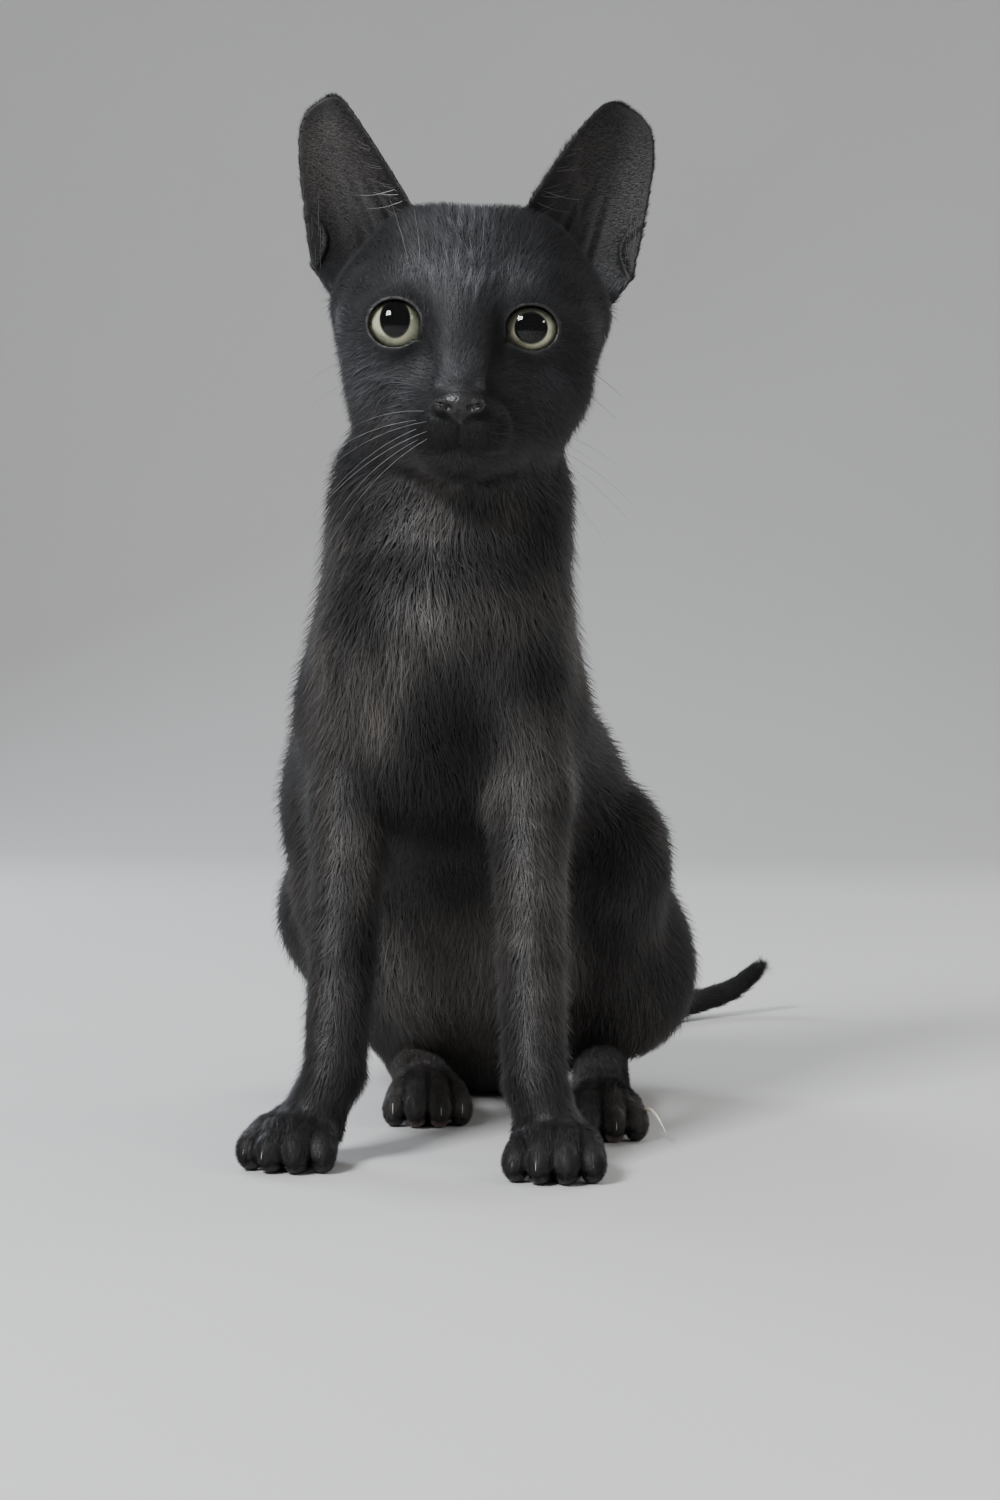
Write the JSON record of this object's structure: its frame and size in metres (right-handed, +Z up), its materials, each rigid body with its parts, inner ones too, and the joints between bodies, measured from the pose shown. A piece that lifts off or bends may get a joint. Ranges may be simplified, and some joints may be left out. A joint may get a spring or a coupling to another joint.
{
  "type": "cat",
  "caption": "Still, life-size young short-haired black cat sitting upright, forelegs straight, large upright ears, head level and the tail lying out behind on the floor.",
  "frame": {"origin": "middle of the bounding box at floor level", "axes": "+Z up, the cat faces -Y, +X is the cat's left"},
  "size_m": [0.1774, 0.4056, 0.3154],
  "materials": {
    "coat": "short close fur, softly glossy, black with brown-grey hair bases",
    "skin": "thin dark skin of the ears, nose and toe pads, satin",
    "eye": "wet, clear gloss over a pale yellow-green iris and a wide dark pupil",
    "claw": "pale translucent horn, satin"
  },
  "bodies": {
    "root": {"abdomen": "coat", "chest": "coat", "claw_fore_left_1": "claw", "claw_fore_left_2": "claw", "claw_fore_left_3": "claw", "claw_fore_left_4": "claw", "claw_fore_right_1": "claw", "claw_fore_right_2": "claw", "claw_fore_right_3": "claw", "claw_fore_right_4": "claw", "claw_hind_left_1": "claw", "claw_hind_left_2": "claw", "claw_hind_left_3": "claw", "claw_hind_left_4": "claw", "claw_hind_right_1": "claw", "claw_hind_right_2": "claw", "claw_hind_right_3": "claw", "claw_hind_right_4": "claw", "ear_left": "skin", "ear_right": "skin", "eye_left": "eye", "eye_right": "eye", "forearm_left": "coat", "forearm_right": "coat", "forepaw_left": "coat", "forepaw_right": "coat", "head": "coat", "hind_paw_left": "coat", "hind_paw_right": "coat", "hock_left": "coat", "neck": "coat", "pelvis": "coat", "tail_base": "coat", "tail_middle": "coat", "tail_tip": "coat", "thigh_left": "coat", "thigh_right": "coat", "upper_arm_left": "coat", "upper_arm_right": "coat"}
  },
  "joints": []
}
